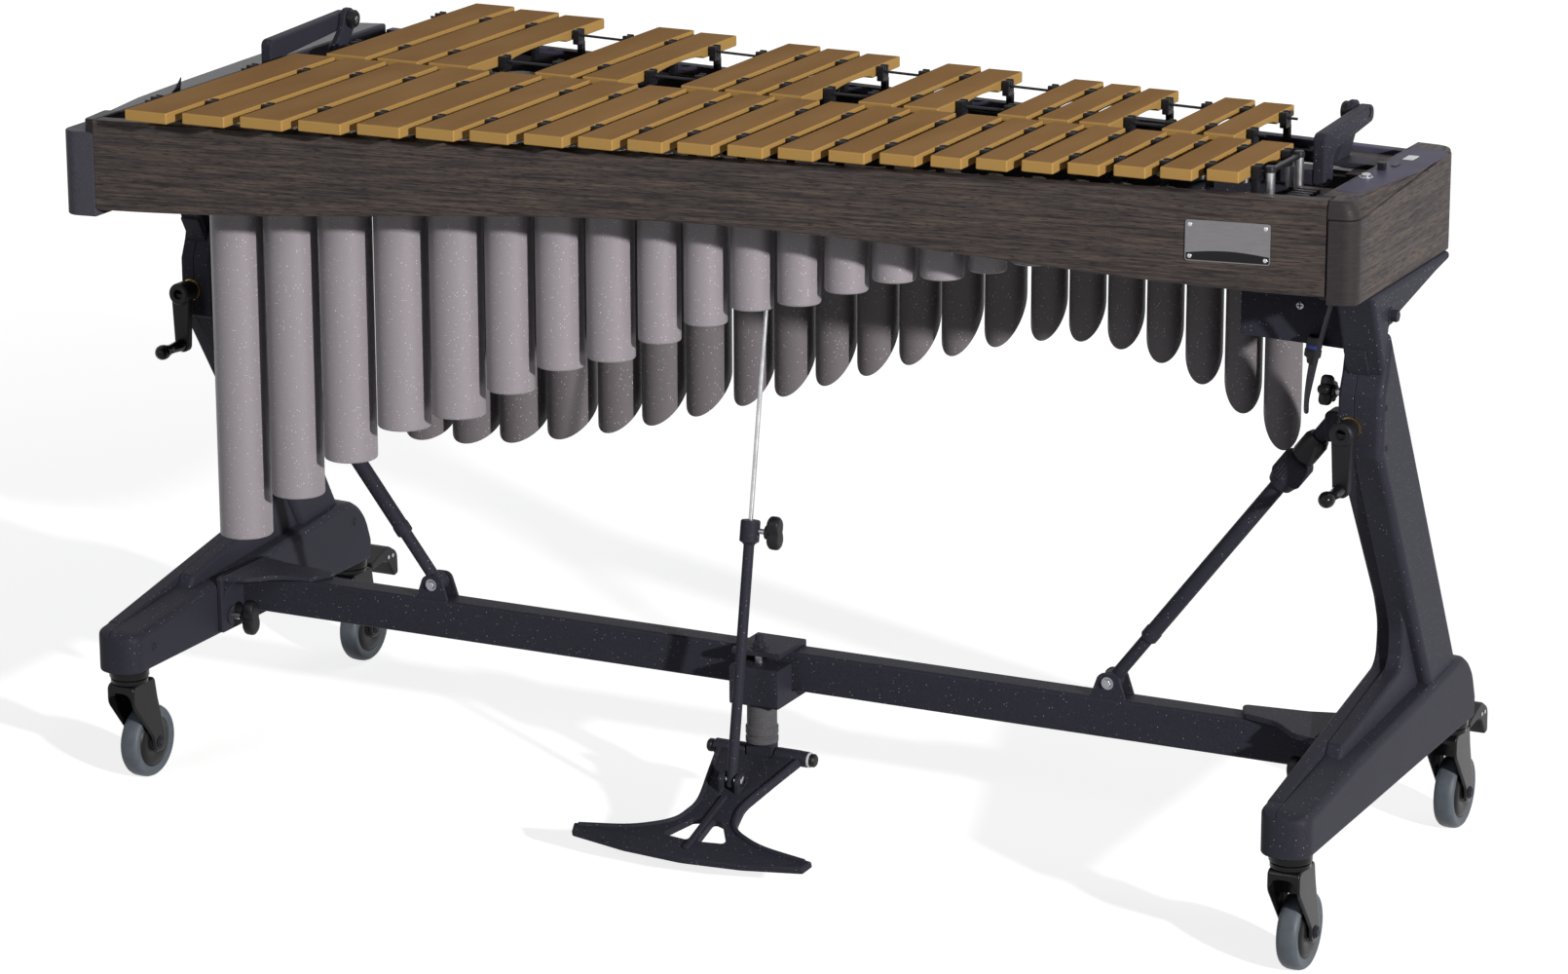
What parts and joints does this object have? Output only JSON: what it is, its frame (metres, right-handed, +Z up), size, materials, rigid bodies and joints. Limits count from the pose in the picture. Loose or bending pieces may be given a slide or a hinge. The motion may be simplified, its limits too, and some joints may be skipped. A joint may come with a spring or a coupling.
{
  "type": "vibraphone",
  "caption": "Concert vibraphone: graduated gold bars over tuned resonator tubes with motor-driven fans, felted damper and foot pedal, on a wheeled stand that slides up its leaning legs.",
  "frame": {"origin": "on the floor, under the middle of the object's bounding box at the lowest height setting", "axes": "+X along the keyboard from the low notes to the high ones, +Y from the player to the back, +Z up"},
  "size_m": [1.47, 0.71, 0.8479],
  "materials": {
    "gold_bars": "matt gold anodised",
    "champagne_tube": "champagne metallic with a fine sparkle",
    "dark_oak": "dark stained open-grain oak, satin",
    "control_plastic": "fine grained",
    "silver_plate": "satin, bare",
    "fan_aluminium": "brushed",
    "steel_rod": "bright",
    "felt": "dense felt",
    "tyre_grey": "grey-blue tread bonded to a black hub",
    "cable_sheath": "smooth",
    "black_plastic": "moulded",
    "gloss_black": "glossy black",
    "black_powder_coat": "speckled powder coat"
  },
  "bodies": {
    "stand": {"leg_inner_shell_low": "black_powder_coat", "leg_inner_shell_high": "black_powder_coat", "leg_outer_shell_low": "black_powder_coat", "leg_outer_shell_high": "black_powder_coat", "cross_beam": "black_powder_coat", "beam_saddle_low": "black_powder_coat", "beam_saddle_high": "black_powder_coat", "brace_low": "black_powder_coat", "brace_high": "black_powder_coat", "brace_nut_low": "black_powder_coat", "brace_nut_high": "black_powder_coat", "pedal_mount": "black_powder_coat"},
    "keyboard": {"leg_head_low": "black_powder_coat", "leg_head_high": "black_powder_coat", "front_rail": "dark_oak", "rear_rail": "dark_oak", "end_block_low": "dark_oak", "end_block_high": "dark_oak", "control_panel": "control_plastic", "name_plate": "silver_plate", "natural_front_rail": "black_powder_coat", "natural_rear_rail": "black_powder_coat", "accidental_front_rail": "black_powder_coat", "accidental_rear_rail": "black_powder_coat", "natural_bars": "gold_bars", "accidental_bars": "gold_bars", "natural_resonators": "champagne_tube", "accidental_resonators": "champagne_tube", "fan_motor": "black_plastic", "motor_cable": "cable_sheath", "cable_plug": "black_plastic", "damper_bracket_low": "black_powder_coat", "damper_bracket_high": "black_powder_coat"},
    "crank_low": {"crank_low": "black_plastic"},
    "height_knob_low": {"height_knob_low": "black_plastic"},
    "saddle_knob_low": {"saddle_knob_low": "black_plastic"},
    "crank_high": {"crank_high": "black_plastic"},
    "height_knob_high": {"height_knob_high": "black_plastic"},
    "saddle_knob_high": {"saddle_knob_high": "black_plastic"},
    "pedal": {"pedal": "black_powder_coat"},
    "rod_pin": {"rod_pin": "steel_rod"},
    "pedal_rod": {"pedal_rod": "black_powder_coat"},
    "damper_wire": {"damper_wire": "steel_rod"},
    "rod_knob": {"rod_knob": "black_plastic"},
    "damper": {"damper_bar": "black_powder_coat", "damper_felt": "felt", "damper_arm_low": "black_powder_coat", "damper_arm_high": "black_powder_coat"},
    "natural_fans": {"natural_fan_shaft": "fan_aluminium"},
    "accidental_fans": {"accidental_fan_shaft": "fan_aluminium"},
    "caster_fork_front_low": {"caster_fork_front_low": "gloss_black"},
    "caster_wheel_front_low": {"caster_wheel_front_low": "tyre_grey"},
    "caster_fork_rear_low": {"caster_fork_rear_low": "gloss_black"},
    "caster_wheel_rear_low": {"caster_wheel_rear_low": "tyre_grey"},
    "brake_lever_low": {"brake_lever_low": "black_plastic"},
    "caster_fork_front_high": {"caster_fork_front_high": "gloss_black"},
    "caster_wheel_front_high": {"caster_wheel_front_high": "tyre_grey"},
    "caster_fork_rear_high": {"caster_fork_rear_high": "gloss_black"},
    "caster_wheel_rear_high": {"caster_wheel_rear_high": "tyre_grey"},
    "brake_lever_high": {"brake_lever_high": "black_plastic"}
  },
  "joints": [
    {"name": "height_slide", "type": "slide", "parent": "stand", "child": "keyboard", "axis": [0, -0.5, 0.866], "range_m": [0, 0.16]},
    {"name": "crank_turn_low", "type": "hinge", "parent": "stand", "child": "crank_low", "pos_m": [-0.72, -0.0453, 0.543], "axis": [0, -1, 0], "range_deg": [-725, 725]},
    {"name": "height_knob_turn_low", "type": "hinge", "parent": "stand", "child": "height_knob_low", "pos_m": [-0.6917, -0.02, 0.574], "axis": [1, 0, 0], "range_deg": [-180, 180]},
    {"name": "saddle_knob_turn_low", "type": "hinge", "parent": "stand", "child": "saddle_knob_low", "pos_m": [-0.6724, -0.056, 0.16], "axis": [1, 0, 0], "range_deg": [-180, 180]},
    {"name": "crank_turn_high", "type": "hinge", "parent": "stand", "child": "crank_high", "pos_m": [0.694, -0.0453, 0.543], "axis": [0, -1, 0], "range_deg": [-725, 725]},
    {"name": "height_knob_turn_high", "type": "hinge", "parent": "stand", "child": "height_knob_high", "pos_m": [0.6787, -0.02, 0.574], "axis": [1, 0, 0], "range_deg": [-180, 180]},
    {"name": "saddle_knob_turn_high", "type": "hinge", "parent": "stand", "child": "saddle_knob_high", "pos_m": [0.6724, -0.056, 0.16], "axis": [1, 0, 0], "range_deg": [-180, 180]},
    {"name": "pedal_press", "type": "hinge", "parent": "stand", "child": "pedal", "pos_m": [0.012, -0.045, 0.088], "axis": [1, 0, 0], "range_deg": [0, 5], "stiffness_Nm_per_rad": 40, "springref_deg": -5.73},
    {"name": "rod_pin_drop", "type": "slide", "parent": "stand", "child": "rod_pin", "axis": [0, 0.1552, -0.9879], "range_m": [0, 0.00686]},
    {"name": "rod_tilt", "type": "hinge", "parent": "rod_pin", "child": "pedal_rod", "pos_m": [0.012, -0.12082, 0.07946], "axis": [1, 0, 0], "range_deg": [0, 7.48]},
    {"name": "wire_slide", "type": "slide", "parent": "pedal_rod", "child": "damper_wire", "axis": [0, 0.1716, 0.9852], "range_m": [0, 0.1303]},
    {"name": "rod_knob_turn", "type": "hinge", "parent": "pedal_rod", "child": "rod_knob", "pos_m": [0.0233, -0.07293, 0.35432], "axis": [1, 0, 0], "range_deg": [-180, 180]},
    {"name": "damper_swing", "type": "hinge", "parent": "keyboard", "child": "damper", "pos_m": [0, 0.14735, 0.835], "axis": [1, 0, 0], "range_deg": [0, 2.57]},
    {"name": "natural_fan_spin", "type": "hinge", "parent": "keyboard", "child": "natural_fans", "pos_m": [0, -0.11746, 0.7795], "axis": [0.9942, 0.1078, 0], "continuous": true},
    {"name": "accidental_fan_spin", "type": "hinge", "parent": "keyboard", "child": "accidental_fans", "pos_m": [0, 0.15155, 0.7795], "axis": [0.9984, -0.0566, 0], "continuous": true},
    {"name": "swivel_front_low", "type": "hinge", "parent": "stand", "child": "caster_fork_front_low", "pos_m": [-0.707, -0.224, 0.1397], "axis": [0, 0, 1], "continuous": true},
    {"name": "wheel_spin_front_low", "type": "hinge", "parent": "caster_fork_front_low", "child": "caster_wheel_front_low", "pos_m": [-0.707, -0.192, 0.0425], "axis": [1, 0, 0], "continuous": true},
    {"name": "swivel_rear_low", "type": "hinge", "parent": "stand", "child": "caster_fork_rear_low", "pos_m": [-0.707, 0.264, 0.1397], "axis": [0, 0, 1], "continuous": true},
    {"name": "wheel_spin_rear_low", "type": "hinge", "parent": "caster_fork_rear_low", "child": "caster_wheel_rear_low", "pos_m": [-0.707, 0.296, 0.0425], "axis": [1, 0, 0], "continuous": true},
    {"name": "brake_press_low", "type": "hinge", "parent": "caster_fork_rear_low", "child": "brake_lever_low", "pos_m": [-0.707, 0.2943, 0.1212], "axis": [1, 0, 0], "range_deg": [-20, 0]},
    {"name": "swivel_front_high", "type": "hinge", "parent": "stand", "child": "caster_fork_front_high", "pos_m": [0.707, -0.224, 0.1397], "axis": [0, 0, 1], "continuous": true},
    {"name": "wheel_spin_front_high", "type": "hinge", "parent": "caster_fork_front_high", "child": "caster_wheel_front_high", "pos_m": [0.707, -0.192, 0.0425], "axis": [1, 0, 0], "continuous": true},
    {"name": "swivel_rear_high", "type": "hinge", "parent": "stand", "child": "caster_fork_rear_high", "pos_m": [0.707, 0.264, 0.1397], "axis": [0, 0, 1], "continuous": true},
    {"name": "wheel_spin_rear_high", "type": "hinge", "parent": "caster_fork_rear_high", "child": "caster_wheel_rear_high", "pos_m": [0.707, 0.296, 0.0425], "axis": [1, 0, 0], "continuous": true},
    {"name": "brake_press_high", "type": "hinge", "parent": "caster_fork_rear_high", "child": "brake_lever_high", "pos_m": [0.707, 0.2943, 0.1212], "axis": [1, 0, 0], "range_deg": [-20, 0]}
  ],
  "couplings": [
    {"joint": "crank_turn_low", "follows": "height_slide", "rad_per_m": 78.54},
    {"joint": "crank_turn_high", "follows": "height_slide", "rad_per_m": 78.54},
    {"joint": "rod_pin_drop", "follows": "pedal_press", "m_per_rad": 0.076271},
    {"joint": "rod_tilt", "follows": "height_slide", "rad_per_m": 0.79381},
    {"joint": "wire_slide", "follows": "height_slide", "ratio": 0.80814},
    {"joint": "damper_swing", "follows": "pedal_press", "ratio": 0.50396},
    {"joint": "accidental_fan_spin", "follows": "natural_fan_spin", "ratio": 1}
  ]
}
